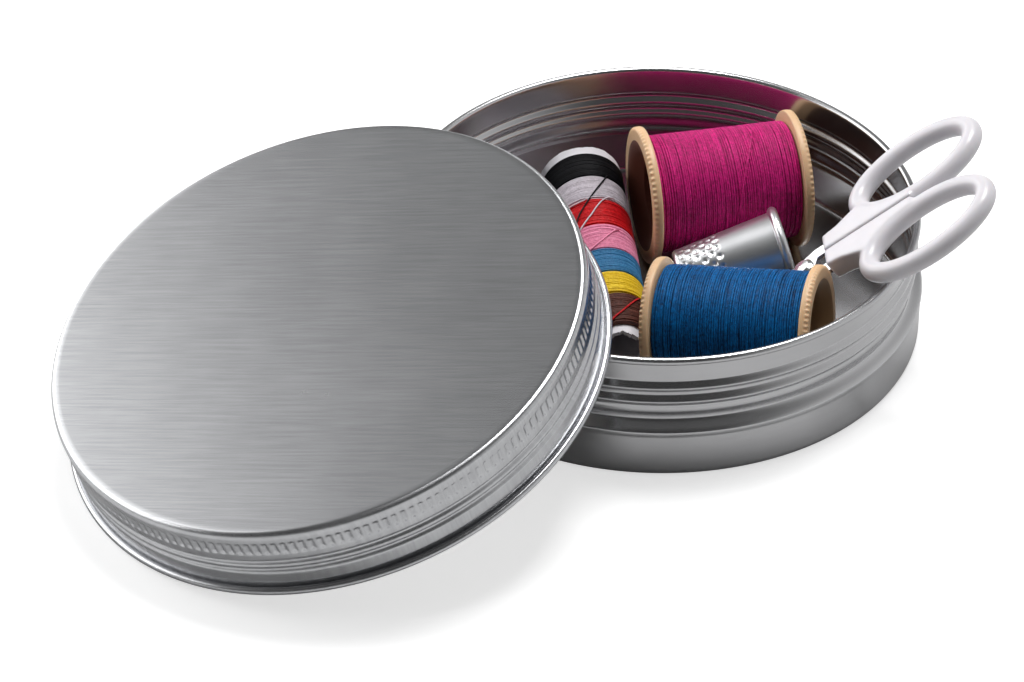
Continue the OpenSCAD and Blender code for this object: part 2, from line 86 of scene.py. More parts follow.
# Sizes and place of the striped cop, whose axis runs from its front end to its rear end
COP_L, COP_FRONT_R, COP_REAR_R, COP_THREAD_T = 57.0, 6.4, 8.6, 1.5
COP_FRONT_BARE, COP_REAR_BARE = 3.2, 2.6
COP_REAR_AT, COP_LIFT, COP_TURN, COP_TAPER = (-14.2175, 33.3379, 0), 0.7, 7.0, 2.21032
COP_PITCH, COP_THREAD_D, BAND_GAP, PAPER_T = 0.36, 0.38, 0.03, 0.75

# Sizes and place of the thimble, whose axis runs from its closed end to its rim
THIMBLE_H, THIMBLE_RIM_R, THIMBLE_TIP_R, THIMBLE_WALL = 22.0, 8.8, 6.3, 0.7
THIMBLE_CORNER_R, THIMBLE_ROLL_R, THIMBLE_ROLL_H, THIMBLE_ROLL_PROUD = 1.1, 0.92, 1.8, 0.9
THIMBLE_AT, THIMBLE_TURN, THIMBLE_TILT = (25.6, 4.15553, 12.3319), 7.9, 15.3
DIMPLE_R, DIMPLE_DEPTH, FIRST_DIMPLES, DIMPLE_ROWS, DIMPLE_STEP, DIMPLES_ROUND = 0.86, 0.30, 1.7, 6, 1.42, 23
# The rings of dimples over the closed end: radius and count
DIMPLE_RINGS = [(0.0, 1), (1.5, 6), (3.0, 12), (4.5, 18)]

# Sizes of the scissors' handles
HANDLE_START, LOOP_REACH, LOOP_L, LOOP_W, LOOP_T = 5.4, 21.0, 26.0, 15.4, 4.0
SHANK_W, SHANK_T, HALF_GAP = 4.6, 4.4, 0.15


def turned(place, turn, tilt):
    """A place whose local Z runs along a compass turn, tilted up."""
    m = Matrix.Rotation(math.radians(turn), 4, "Z") @ Matrix.Rotation(math.radians(90 - tilt), 4, "Y")
    return Matrix.Translation(Vector(place) * MM) @ m


def node_centre(name):
    """The middle of a solid's box in millimetres, which for a reel is the middle of its axis."""
    low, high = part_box(name)
    return (low + high) / 2 / MM


def lid_place():
    """The lid leans with its curl on the ground on one side and on the tin's rim on the other."""
    t = math.radians(LEAN_TILT)
    drop = CURL_TUBE * (math.sin(t) + math.cos(t) - 1)
    return (Matrix.Rotation(math.radians(LEAN_TURN), 4, "Z")
            @ Matrix.Translation(Vector((LEAN_REACH, 0, CURL_R * math.sin(t) - drop)) * MM)
            @ Matrix.Rotation(t, 4, "Y"))


def cop_place():
    """Local Z runs from the cop's front end to its rear end, and the cop lies on its tapering side."""
    return (Matrix.Translation(Vector(COP_REAR_AT) * MM)
            @ Matrix.Rotation(math.radians(COP_TURN), 4, "Z")
            @ Matrix.Translation(Vector((0, -COP_L, COP_LIFT + COP_FRONT_R)) * MM)
            @ Matrix.Rotation(math.radians(COP_TAPER - 90), 4, "X"))


def scissors_place():
    """Local X runs from the rivet to the handles, Z out of the blades' upper face."""
    joints = {j["name"]: j for j in frame["joints"]}
    along = Vector(joints["scissors_draw"]["axis"]).normalized()
    out = -Vector(joints["scissors_open"]["axis"]).normalized()
    m = Matrix((along, out.cross(along), out)).transposed().to_4x4()
    return Matrix.Translation(Vector(joints["scissors_open"]["pos_m"])) @ m


MAGENTA = turned(node_centre("magenta_reel"), MAGENTA_TURN, 0)
BLUE = turned(node_centre("blue_reel"), BLUE_TURN, BLUE_TILT)
THIMBLE = turned(THIMBLE_AT, THIMBLE_TURN, THIMBLE_TILT)
LID, COP, SCISSORS = lid_place(), cop_place(), scissors_place()


def lid_directions():
    """The lid's grain runs level, almost from left to right, and its shine is drawn out across it.

    The lid's mesh is in the shared frame, so the grain is turned to lie along the leaning top."""
    into_lid = LID.to_3x3().inverted()
    level = into_lid @ Vector(BRUSHED_ALONG)
    level.z = 0
    level.normalize()
    across = Vector((0, 0, 1)).cross(level)
    turn = Matrix.Rotation(-math.atan2(level.y, level.x), 3, "Z") @ into_lid
    return LID.to_3x3() @ across, turn.to_euler()


LID_ACROSS, LID_GRAIN_TURN = lid_directions()


def piece(name, points, faces, place, body, material, replaces, sharp=40):
    """A smooth mesh piece from points in millimetres in its own frame, riding on a body."""
    mesh = bpy.data.meshes.new(name)
    mesh.from_pydata((np.asarray(points, float) * MM).tolist(), [], [list(map(int, f)) for f in faces])
    mesh.validate()
    mesh.shade_smooth()
    if sharp:
        mesh.set_sharp_from_angle(angle=math.radians(sharp))
    obj = bpy.data.objects.new(name, mesh)
    scene.collection.objects.link(obj)
    obj.matrix_world = place
    mesh.materials.append(material)
    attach(obj, body)
    if replaces:
        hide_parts(*replaces)
    return obj


def finish_only(name, material):
    """A piece whose solid already has its shape gets only its finish."""
    mesh = frame["nodes"][name].data
    mesh.materials.clear()
    mesh.materials.append(material)


def lathe(profile, columns, shift=None, closed=False):
    """Points and faces of a profile of (radius, height) turned about Z.

    shift(angles, row) is added to the radius. A profile's end at radius 0 becomes one point."""
    angles = np.arange(columns) * 2 * math.pi / columns
    points, rows = [], []
    for row, (r, z) in enumerate(profile):
        if r < 1e-6:
            rows.append([len(points)])
            points.append((0, 0, z))
            continue
        ring_r = r + (shift(angles, row) if shift else 0) * np.ones(columns)
        rows.append(list(range(len(points), len(points) + columns)))
        points += list(zip(ring_r * np.cos(angles), ring_r * np.sin(angles), np.full(columns, z)))
    faces = []
    for a, b in zip(rows, rows[1:] + rows[:1] if closed else rows[1:]):
        for i in range(columns):
            j = (i + 1) % columns
            if len(a) == 1:
                faces.append((a[0], b[j], b[i]))
            elif len(b) == 1:
                faces.append((a[i], a[j], b[0]))
            else:
                faces.append((a[i], a[j], b[j], b[i]))
    return points, faces


def arc(cx, cz, r, start, end, steps):
    """Points of a rounded corner of the profile, between two angles in degrees."""
    return [(cx + r * math.cos(math.radians(a)), cz + r * math.sin(math.radians(a)))
            for a in np.linspace(start, end, steps)]


def ring_faces(rings, columns, closed):
    """Four-sided faces between rings of points that follow one another."""
    i = np.arange(rings if closed else rings - 1)[:, None]
    k = np.arange(columns)[None]
    j, m = (i + 1) % rings, (k + 1) % columns
    corners = [i * columns + k, i * columns + m, j * columns + m, j * columns + k]
    return np.stack(corners, -1).reshape(-1, 4).tolist()


def tube(path, radius, sides, closed=False):
    """Points and faces of a round tube along a path, its radius one number or one for each point."""
    p = np.asarray(path, float)
    n = len(p)
    r = np.broadcast_to(np.asarray(radius, float), (n,))
    d = np.roll(p, -1, 0) - np.roll(p, 1, 0) if closed else np.gradient(p, axis=0)
    d /= np.linalg.norm(d, axis=1)[:, None]
    side = np.cross(d, np.tile([0.0, 0.0, 1.0], (n, 1)))
    upright = np.linalg.norm(side, axis=1) < 1e-3
    side[upright] = np.cross(d[upright], [1.0, 0, 0])
    side /= np.linalg.norm(side, axis=1)[:, None]
    top = np.cross(side, d)
    a = np.arange(sides) * 2 * math.pi / sides
    ring = np.cos(a)[None, :, None] * side[:, None] + np.sin(a)[None, :, None] * top[:, None]
    points = (p[:, None] + r[:, None, None] * ring).reshape(-1, 3)
    faces = ring_faces(n, sides, closed)
    if not closed:
        faces += [list(range(sides))[::-1], list(range((n - 1) * sides, n * sides))]
    return points, faces


def node(tree, kind, inputs=None, **settings):
    """A shader node. Each input is linked from an output, or set to a plain value."""
    made = tree.nodes.new(kind)
    for key, value in settings.items():
        setattr(made, key, value)
    for key, value in (inputs or {}).items():
        if isinstance(value, bpy.types.NodeSocket):
            tree.links.new(value, made.inputs[key])
        else:
            made.inputs[key].default_value = value
    return made


def maths(tree, operation, a, b, clamp=False):
    """The output of a sum, difference or product of two values."""
    return node(tree, "ShaderNodeMath", {0: a, 1: b}, operation=operation, use_clamp=clamp).outputs[0]


def noise(tree, vector, scale, detail, roughness):
    """The output of a soft random pattern, from 0 to 1 about a half."""
    inputs = {"Vector": vector, "Scale": scale, "Detail": detail, "Roughness": roughness}
    return node(tree, "ShaderNodeTexNoise", inputs).outputs["Fac"]


def stretched(tree, vector, factors):
    """Coordinates multiplied on each axis, so that a pattern is fine where the factor is large."""
    return node(tree, "ShaderNodeVectorMath", {0: vector, 1: factors}, operation="MULTIPLY").outputs[0]


def own_place(tree):
    """Coordinates in the piece's own frame, in metres, which move with the piece."""
    return node(tree, "ShaderNodeTexCoord").outputs["Object"]


def contrasted(tree, value, middle, contrast):
    """The value's swing about its middle, widened and set about a half."""
    swing = maths(tree, "MULTIPLY", maths(tree, "SUBTRACT", value, middle), contrast)
    return maths(tree, "ADD", swing, 0.5, clamp=True)


def new_group(name, inputs, outputs):
    """An empty shader group, with its inputs by name and default and its float outputs."""
    group = bpy.data.node_groups.new(name, "ShaderNodeTree")
    for label, value in inputs.items():
        kind = "NodeSocketVector" if isinstance(value, tuple) else "NodeSocketFloat"
        group.interface.new_socket(label, in_out="INPUT", socket_type=kind).default_value = value
    for label in outputs:
        group.interface.new_socket(label, in_out="OUTPUT", socket_type="NodeSocketFloat")
    return group, node(group, "NodeGroupInput").outputs


def grain_group():
    """Streaks along one axis of the piece: stretched noise, as a mask and a height."""
    defaults = {"Along": (20, 2000, 20), "Turn": (0, 0, 0), "Contrast": 0.5}
    group, given = new_group("Brushed Grain", defaults, ["Mask", "Height"])
    turn = node(group, "ShaderNodeVectorRotate", {"Vector": own_place(group), "Rotation": given["Turn"]},
                rotation_type="EULER_XYZ")
    streaks = noise(group, stretched(group, turn.outputs[0], given["Along"]), 1.0, 3.0, 0.65)
    mask = contrasted(group, streaks, 0.5, given["Contrast"])
    node(group, "NodeGroupOutput", {"Mask": mask, "Height": streaks})
    return group


def handling_group():
    """Soft uneven patches left by handling, as a mask."""
    group, given = new_group("Handling Marks", {"Size": 60.0, "Contrast": 1.0}, ["Mask"])
    patches = noise(group, own_place(group), given["Size"], 5.0, 0.6)
    node(group, "NodeGroupOutput", {"Mask": contrasted(group, patches, 0.5, given["Contrast"])})
    return group


def spun_thread_group():
    """Mottling of spun thread at the scale of its fibres, and from turn to turn, as a mask and a height."""
    group, given = new_group("Spun Thread", {"Fibre": 2600.0, "Contrast": 1.0}, ["Mask", "Height"])
    place = own_place(group)
    fibre = noise(group, place, given["Fibre"], 3.0, 0.7)
    round_the_axis = (120, 120, 4200)
    from_turn_to_turn = noise(group, stretched(group, place, round_the_axis), 1.0, 3.0, 0.6)
    both = maths(group, "ADD", fibre, from_turn_to_turn)
    mask = contrasted(group, both, 1.0, given["Contrast"])
    node(group, "NodeGroupOutput", {"Mask": mask, "Height": fibre})
    return group


GRAIN, HANDLING, SPUN_THREAD = grain_group(), handling_group(), spun_thread_group()

# How each kind of surface uses the groups, and the depth of its relief in millimetres
METAL_MARKS, MOULDED_MARKS = {"Size": 55.0, "Contrast": 1.4}, {"Size": 140.0, "Contrast": 1.2}
THREAD_FIBRES = {"Fibre": 1700.0, "Contrast": 1.7}
GRAIN_DEPTH, FIBRE_DEPTH, PIT_DEPTH, PIT_SCALE = 0.02, 0.16, 0.03, 900.0


def blank(name, sockets):
    """A material with one shader, whose even values are set on its own sockets."""
    material = bpy.data.materials.new(name)
    material.use_nodes = True
    tree = material.node_tree
    tree.nodes.clear()
    shader = node(tree, "ShaderNodeBsdfPrincipled", sockets)
    node(tree, "ShaderNodeOutputMaterial", {"Surface": shader.outputs[0]})
    return material, tree, shader


def two_tone(tree, shader, mask, dark, light):
    """The colour runs from dark to light with the mask."""
    mix = node(tree, "ShaderNodeMix", {"Factor": mask, "A": (*dark, 1), "B": (*light, 1)}, data_type="RGBA")
    tree.links.new(mix.outputs["Result"], shader.inputs["Base Color"])


def roughened(tree, shader, mask, rough):
    """The roughness runs between two values with the mask."""
    between = node(tree, "ShaderNodeMapRange", {"Value": mask, "To Min": rough[0], "To Max": rough[1]})
    tree.links.new(between.outputs["Result"], shader.inputs["Roughness"])


def bumped(tree, shader, height, strength, depth):
    """Fine relief, its depth in millimetres."""
    inputs = {"Height": height, "Strength": strength, "Distance": depth * MM}
    tree.links.new(node(tree, "ShaderNodeBump", inputs).outputs["Normal"], shader.inputs["Normal"])


def metal(name, dark, light, rough, along, bump, contrast=0.6, across=None, turn=(0, 0, 0), spun=False):
    """Brushed metal. along says how fine its grain is on each axis, after turn, so it runs where that is small.

    across is the direction in the piece's own frame in which its shine is drawn out.
    Spun metal has its grain all round its own upright axis instead."""
    material, tree, shader = blank(name, {"Metallic": 1.0})
    if across:
        shader.inputs["Anisotropic"].default_value = 0.85
        tangent = node(tree, "ShaderNodeVectorTransform", {0: across},
                       vector_type="VECTOR", convert_from="OBJECT", convert_to="WORLD")
        tree.links.new(tangent.outputs[0], shader.inputs["Tangent"])
    if spun:
        quarter_turn = 0.25
        shader.inputs["Anisotropic"].default_value = 0.35
        shader.inputs["Anisotropic Rotation"].default_value = quarter_turn
        tangent = node(tree, "ShaderNodeTangent", direction_type="RADIAL", axis="Z")
        tree.links.new(tangent.outputs[0], shader.inputs["Tangent"])
    grain = node(tree, "ShaderNodeGroup", {"Along": along, "Turn": turn, "Contrast": contrast}, node_tree=GRAIN)
    marks = node(tree, "ShaderNodeGroup", METAL_MARKS, node_tree=HANDLING)
    half_grain = maths(tree, "MULTIPLY", grain.outputs["Mask"], 0.5)
    half_marks = maths(tree, "MULTIPLY", marks.outputs["Mask"], 0.5)
    two_tone(tree, shader, maths(tree, "ADD", half_marks, half_grain, clamp=True), dark, light)
    roughened(tree, shader, marks.outputs["Mask"], rough)
    bumped(tree, shader, grain.outputs["Height"], bump, GRAIN_DEPTH)
    return material


def thread(name, dark, light, sheen=0.03, shine=0.22):
    """Spun sewing thread, matt with a little shine along its turns."""
    material, tree, shader = blank(name, {
        "Roughness": 0.45, "Sheen Weight": sheen, "Sheen Roughness": 0.4, "Specular IOR Level": shine})
    spun = node(tree, "ShaderNodeGroup", THREAD_FIBRES, node_tree=SPUN_THREAD)
    two_tone(tree, shader, spun.outputs["Mask"], dark, light)
    bumped(tree, shader, spun.outputs["Height"], 1.0, FIBRE_DEPTH)
    return material


def moulded(name, dark, light, rough, coat=0.0, subsurface=0.0):
    """A matt pressed or moulded stuff: plastic, paper or foam, with faint pits."""
    material, tree, shader = blank(name, {
        "Coat Weight": coat, "Subsurface Weight": subsurface,
        "Subsurface Scale": 1.2 * MM, "Subsurface Radius": (1, 0.6, 0.4)})
    marks = node(tree, "ShaderNodeGroup", MOULDED_MARKS, node_tree=HANDLING)
    two_tone(tree, shader, marks.outputs["Mask"], dark, light)
    roughened(tree, shader, marks.outputs["Mask"], rough)
    bumped(tree, shader, noise(tree, own_place(tree), PIT_SCALE, 3.0, 0.5), 0.12, PIT_DEPTH)
    return material


TIN_METAL = metal("tin_metal", (0.44, 0.44, 0.45), (0.60, 0.60, 0.61), (0.20, 0.28),
                  (60, 60, 1400), 0.10, spun=True)
LID_METAL = metal("lid_metal", (0.47, 0.475, 0.49), (0.63, 0.635, 0.65), (0.25, 0.28),
                  (60, 2700, 60), 0.3, contrast=3.6, across=LID_ACROSS, turn=LID_GRAIN_TURN)
THIMBLE_METAL = metal("thimble_metal", (0.66, 0.67, 0.69), (0.84, 0.85, 0.86), (0.26, 0.36),
                      (900, 900, 40), 0.2, contrast=2.0)
BLADE_STEEL = metal("blade_steel", (0.5, 0.5, 0.52), (0.72, 0.72, 0.74), (0.12, 0.2), (60, 1500, 60), 0.1)
RIVET_STEEL = metal("rivet_steel", (0.55, 0.55, 0.56), (0.75, 0.75, 0.76), (0.16, 0.24), (400, 400, 400), 0.05)

REEL_CREAM = moulded("reel_cream", (0.62, 0.39, 0.21), (0.74, 0.51, 0.31), (0.38, 0.5), subsurface=0.25)
# The mouths of the reels are painted dark inside, as painted shade in their hollows
MOUTH_SHADE = {"magenta": moulded("magenta_reel_mouth_shade", (0.10, 0.025, 0.014), (0.17, 0.05, 0.028), (0.5, 0.6)),
         "blue": moulded("blue_reel_mouth_shade", (0.22, 0.12, 0.05), (0.34, 0.20, 0.09), (0.45, 0.55))}
HANDLE_WHITE = moulded("handle_white", (0.60, 0.58, 0.61), (0.68, 0.66, 0.69), (0.30, 0.38),
                       coat=0.12, subsurface=0.1)
PAPER = moulded("cop_paper", (0.62, 0.60, 0.64), (0.82, 0.80, 0.83), (0.75, 0.9))
FOAM = moulded("liner_foam", (0.80, 0.80, 0.77), (0.9, 0.9, 0.88), (0.8, 0.95))

MAGENTA_THREAD = thread("magenta_thread", (0.22, 0.002, 0.062), (0.80, 0.018, 0.26))
BLUE_THREAD = thread("blue_thread", (0.001, 0.012, 0.05), (0.0, 0.165, 0.48), shine=0.15)
BLACK_THREAD = thread("black_thread", (0.002, 0.002, 0.003), (0.010, 0.010, 0.012), sheen=0.0, shine=0.12)
WHITE_THREAD = thread("white_thread", (0.42, 0.38, 0.42), (0.66, 0.61, 0.66))
RED_THREAD = thread("red_thread", (0.34, 0.003, 0.006), (0.74, 0.008, 0.014))
PINK_THREAD = thread("pink_thread", (0.58, 0.15, 0.26), (0.88, 0.34, 0.50))
SKY_THREAD = thread("light_blue_thread", (0.02, 0.11, 0.25), (0.06, 0.26, 0.48))
YELLOW_THREAD = thread("yellow_thread", (0.60, 0.37, 0.005), (0.92, 0.68, 0.035))
BROWN_THREAD = thread("brown_thread", (0.045, 0.014, 0.010), (0.17, 0.055, 0.038))


def ridge_at(z, centre, width):
    """A round ridge or groove pressed into the sheet, 1 at its centre and 0 at its edges."""
    return math.cos(math.pi * (z - centre) / width) ** 2 if abs(z - centre) < width / 2 else 0.0


def wall_radius(z):
    """The tin's outside: body, stop bead, fall to the neck, low band and two ridges of the thread."""
    if z <= BODY_H:
        return BODY_R
    if z <= STOP_Z:
        return BODY_R + STOP_BEAD * math.sin(math.pi / 2 * (z - BODY_H))
    if z <= STOP_Z + STOP_FALL:
        fall = math.cos(math.pi / 2 * (z - STOP_Z) / STOP_FALL) ** 2
        return NECK_R + (BODY_R + STOP_BEAD - NECK_R) * fall
    ridges = max(ridge_at(z, RIDGE_Z, RIDGE_W), ridge_at(z, RIDGE_Z - RIDGE_PITCH, RIDGE_W))
    return NECK_R + BAND_H * ridge_at(z, BAND_Z, BAND_W) + RIDGE_H * ridges


def make_tin():
    """One sheet from the middle of the floor, out and up the wall, over the rolled rim and back inside."""
    roll_r, roll_z = RIM_R - ROLL_R, TIN_H - ROLL_R
    meet = math.degrees(math.acos((NECK_R - roll_r) / ROLL_R))
    wall_zs = np.linspace(FOOT_R, roll_z - ROLL_R * math.sin(math.radians(meet)), 110)
    floor_ring, foot_edge = 20, BODY_R - FOOT_R
    outer = [(0, 0), (floor_ring, 0), (foot_edge - 1, 0)] + arc(foot_edge, FOOT_R, FOOT_R, -90, -10, 8)
    outer += [(wall_radius(z), z) for z in wall_zs[:-1]]
    rim = arc(roll_r, roll_z, ROLL_R, -meet, 180, 16)
    inner = [(wall_radius(z) - SHEET, z) for z in wall_zs[::-1][1:]]
    inner += arc(foot_edge, FOOT_R, FOOT_R - SHEET, -10, -90, 6)
    inner += [(foot_edge - 1, SHEET), (floor_ring, SHEET), (0, SHEET)]
    points, faces = lathe(outer + rim + inner, columns=256)
    piece("tin", points, faces, Matrix.Identity(4), "tin", TIN_METAL, ["tin_base"], sharp=50)


def skirt_radius(z):
    """The lid's outside, with its two pressed grooves."""
    grooves = max(ridge_at(z, GROOVE_TOP_Z, GROOVE_W), ridge_at(z, GROOVE_LOW_Z, GROOVE_W))
    return LID_R - GROOVE_DEPTH * grooves


def make_lid():
    """One sheet from the middle of the inside, down the skirt, round the curl and back over the top."""
    top_ring, top_edge, shoulder_z = 30, LID_R - SHOULDER, LID_H - SHOULDER
    inside_z = LID_H - SHEET
    inner = [(0, inside_z), (top_ring, inside_z), (top_edge - 0.8, inside_z)]
    inner += arc(top_edge, shoulder_z, SHOULDER - SHEET, 90, 10, 5)
    inner += [(skirt_radius(z) - SHEET, z) for z in np.linspace(shoulder_z, 1.3, 16)] + [(LID_R - SHEET, 0.6)]
    curl = arc(CURL_R - CURL_TUBE, CURL_TUBE, CURL_TUBE, -150, 150, 14)
    # Rows stand closest where the slots of the grip begin and end
    skirt_zs = [*np.linspace(1.25, GRIP_LOW, 36), *np.linspace(GRIP_LOW + 0.15, GRIP_TOP - 0.15, 13),
                *np.linspace(GRIP_TOP, shoulder_z, 5)]
    skirt = [(LID_R, 1.15)] + [(skirt_radius(z), z) for z in skirt_zs]
    top = arc(top_edge, shoulder_z, SHOULDER, 10, 90, 8)
    top += [(top_edge - 0.8, LID_H), (top_ring, LID_H), (0, LID_H)]
    profile = inner + curl + skirt + top
    first_slotted = len(inner) + len(curl)
    last_slotted = first_slotted + len(skirt)

    def slot_cut(angles, row):
        if not first_slotted <= row < last_slotted:
            return np.zeros_like(angles)
        z, run_out = profile[row][1], 0.6
        depth = min(1.0, max(0.0, min(z - GRIP_LOW, GRIP_TOP - z) / run_out))
        return -SLOT_DEPTH * depth * np.clip(1.5 * np.sin(angles * GRIP_SLOTS / 2) ** 2 - 0.3, 0, 1)

    columns_per_slot = 6
    points, faces = lathe(profile, GRIP_SLOTS * columns_per_slot, slot_cut)
    leaning = [(LID @ (Vector(p) * MM)) / MM for p in points]
    piece("lid", leaning, faces, Matrix.Identity(4), "lid", LID_METAL, ["lid_shell"], sharp=50)
    finish_only("lid_liner", FOAM)


def make_reel(colour, place):
    """A moulded spool with flared mouths and fine teeth round its flanges."""
    h, flange_r = REEL_L / 2, FLANGE_R[colour]
    mouth_r, back_z = flange_r - MOUTH_LAND, h - FLANGE_T
    # Half of the outline, from the bore out to the edge and in to the barrel: radius, height, depth of teeth
    flare = (0, 0.25, 0.5, 0.75, 0.94)
    half = [(BORE_R + (mouth_r - BORE_R) * k, h - MOUTH_DEPTH * (1 - k) ** 1.6, 0) for k in flare]
    half += [(mouth_r + 0.15, h, 0), (flange_r - 0.9, h, 0)]
    half += [(flange_r - inset, h - back, teeth) for inset, back, teeth in FLANGE_EDGE]
    half += [(flange_r - 0.02, back_z + 0.35, 0), (flange_r - 0.12, back_z + 0.1, 0)]
    half += [(flange_r - 0.35, back_z, 0), (BARREL_R, back_z, 0)]
    outline = half + [(r, -z, teeth) for r, z, teeth in half[::-1]]
    outline += [(BORE_R, z, 0) for z in np.linspace(-h + MOUTH_DEPTH, h - MOUTH_DEPTH, 8)[1:-1]]

    def teeth_cut(angles, row):
        return -TOOTH_DEPTH * outline[row][2] * np.sin(angles * TEETH / 2) ** 2

    columns_per_tooth = 8
    points, faces = lathe([(r, z) for r, z, _ in outline], TEETH * columns_per_tooth, teeth_cut, closed=True)
    reel = piece(colour + "_spool", points, faces, place, colour, REEL_CREAM,
                 [colour + "_reel"], sharp=45)
    reel.data.materials.append(MOUTH_SHADE[colour])
    # The mouth and bore get the dark second material as painted shade, and so does the barrel, which the thread
    # hides
    inside = (mouth_r - 0.05) * MM
    corners = reel.data.vertices
    for face in reel.data.polygons:
        if all(math.hypot(*corners[v].co.xy) < inside for v in face.vertices):
            face.material_index = 1


def winding(name, place, body, material, radius_at, ends, pitch, thick, solids, wobble, steps):
    """One long helical thread over a plain sleeve, its turns a little uneven."""
    low, high = ends
    turns = int((high - low - thick) / pitch)
    n = turns * steps
    angle = np.arange(n + 1) * 2 * math.pi / steps

    def drift():
        """A random number for each turn, blended along the thread."""
        return np.interp(np.arange(n + 1) / steps, np.arange(turns + 3), rng.normal(0, 1, turns + 3))

    # Turns stand out or in by up to this share of wobble, and slip along by this share of the pitch
    most, slip = 1.6, 0.22
    lift = drift()
    slow = np.sin(angle * 0.017 + rng.uniform(0, 6)) + 0.6 * np.sin(angle * 0.071 + rng.uniform(0, 6))
    z = low + thick / 2 + (high - low - thick) * np.arange(n + 1) / n
    r = radius_at(z) - thick / 2 - wobble * most + wobble * np.clip(0.55 * lift + 0.4 * slow, -most, most)
    z = (z + slip * pitch * drift().clip(-1.5, 1.5)).clip(low + thick / 2, high - thick / 2)
    points, faces = tube(np.stack([r * np.cos(angle), r * np.sin(angle), z], 1), thick / 2, sides=6)
    piece(name + "_turns", points, faces, place, body, material, solids, sharp=0)

    sleeve = [(float(radius_at(at)) - thick - wobble * 1.5, at) for at in np.linspace(low, high, 5)]
    bore = [(sleeve[-1][0] - SLEEVE_T, high), (sleeve[0][0] - SLEEVE_T, low)]
    points, faces = lathe(bore[1:] + sleeve + bore[:1], columns=96, closed=True)
    piece(name + "_core", points, faces, place, body, material, ())


def wound_radius(colour, z):
    """The outside of a reel's winding, which falls off over the last turns at each flange."""
    return THREAD_R[colour] - END_FALL[colour] * np.clip((np.abs(z) - WOUND_END + FALL_L) / FALL_L, 0, 1) ** 2


def make_reels():
    """Each reel is a spool with its own winding."""
    for colour, place, material in (("magenta", MAGENTA, MAGENTA_THREAD), ("blue", BLUE, BLUE_THREAD)):
        make_reel(colour, place)
        winding(colour, place, colour, material, partial(wound_radius, colour), (-WOUND_END, WOUND_END),
                REEL_PITCH, REEL_THREAD_D, [colour + "_thread", colour + "_core"],
                wobble=0.05, steps=72)


def cop_radius(z):
    """The outside of the cop's winding, which thickens from front to rear."""
    return COP_FRONT_R + (COP_REAR_R - COP_FRONT_R) * z / COP_L


def make_cop():
    """Seven bands of thread from the front end to the rear end, and their paper tube."""
    bands = [("brown", 8.0, BROWN_THREAD, "brown_thread"), ("yellow", 6.5, YELLOW_THREAD, "yellow_thread"),
             ("blue", 6.8, SKY_THREAD, "light_blue_thread"), ("pink", 7.6, PINK_THREAD, "pink_thread"),
             ("red", 8.0, RED_THREAD, "red_thread"), ("white", 7.1, WHITE_THREAD, "white_thread"),
             ("black", 7.2, BLACK_THREAD, "black_thread")]
    room = (COP_L - COP_FRONT_BARE - COP_REAR_BARE) / sum(share for _, share, _, _ in bands)
    z = COP_FRONT_BARE
    for tint, share, material, slot in bands:
        winding("stripe_" + tint, COP, "cop", material, cop_radius, (z + BAND_GAP, z + room * share - BAND_GAP),
                COP_PITCH, COP_THREAD_D, ["cop_" + tint], wobble=0.06, steps=60)
        z += room * share
    make_paper_tube()


def make_paper_tube():
    """Out along the tube's outside and back through its bore, ragged at both ends and flared at the rear."""
    columns, rows = 144, 26
    a = np.arange(columns) * 2 * math.pi / columns
    # Torn by up to 2.4 mm in front and 0.9 mm at the rear, over a twelfth and a fourteenth of the length
    torn_front, torn_rear, front_run, rear_run, flare_out = 2.4, 0.9, 12, 14, 1.15
    ragged = 0.5 * np.sin(3 * a + 1) + 0.35 * np.sin(7 * a) + 0.25 * np.sin(17 * a + 2)
    ragged += 0.15 * rng.normal(0, 1, columns)
    shares = [k / (rows - 1) for k in range(rows)]
    points = []
    for share, wall in [(s, 0.0) for s in shares] + [(1 - s, PAPER_T) for s in shares]:
        z = share * COP_L
        front = np.clip(0.9 + 0.8 * ragged, 0, torn_front) * max(0, 1 - share * front_run)
        rear = np.clip(0.3 + 0.3 * ragged, 0, torn_rear) * max(0, 1 - (1 - share) * rear_run)
        flare = flare_out * max(0.0, (z - COP_L + COP_REAR_BARE - 0.3) / COP_REAR_BARE) ** 0.7
        r = cop_radius(z) - COP_THREAD_T - wall + 0.05 + flare
        points += list(zip(r * np.cos(a), r * np.sin(a), z + front - rear))
    faces = ring_faces(2 * rows, columns, closed=True)
    piece("paper_tube", points, faces, COP, "cop", PAPER, ["cop_tube"])


def strand(name, marks, radius_at, place, body, material, thick, lift=0.1):
    """A loose end lying over the wound thread.

    It is a smooth curve through marks of (angle in degrees, place along the axis)."""
    last, per_mark, sway, sink, thin_out = len(marks) - 1, 14, 0.04, 0.22, 2.5
    t = np.linspace(0, last, per_mark * last + 1)
    k = np.clip(t.astype(int), 0, last - 1)
    m, f = np.array(marks, float), (t - k)[:, None]
    before, a, b, after = m[np.maximum(k - 1, 0)], m[k], m[k + 1], m[np.minimum(k + 2, last)]
    curve = 0.5 * (2 * a + (b - before) * f + (2 * before - 5 * a + 4 * b - after) * f ** 2
                   + (3 * a - before - 3 * b + after) * f ** 3)
    angle, z = np.radians(curve[:, 0]), curve[:, 1]
    # Both ends thin out and sink into the winding
    full = np.minimum(np.minimum(t, last - t) * thin_out, 1)
    r = radius_at(z) + lift + sway * np.sin(t * 2.3) - sink * (1 - full)
    path = np.stack([r * np.cos(angle), r * np.sin(angle), z], 1)
    points, faces = tube(path, thick / 2 * (0.5 + 0.5 * full), sides=8)
    piece(name, points, faces, place, body, material, (), sharp=0)


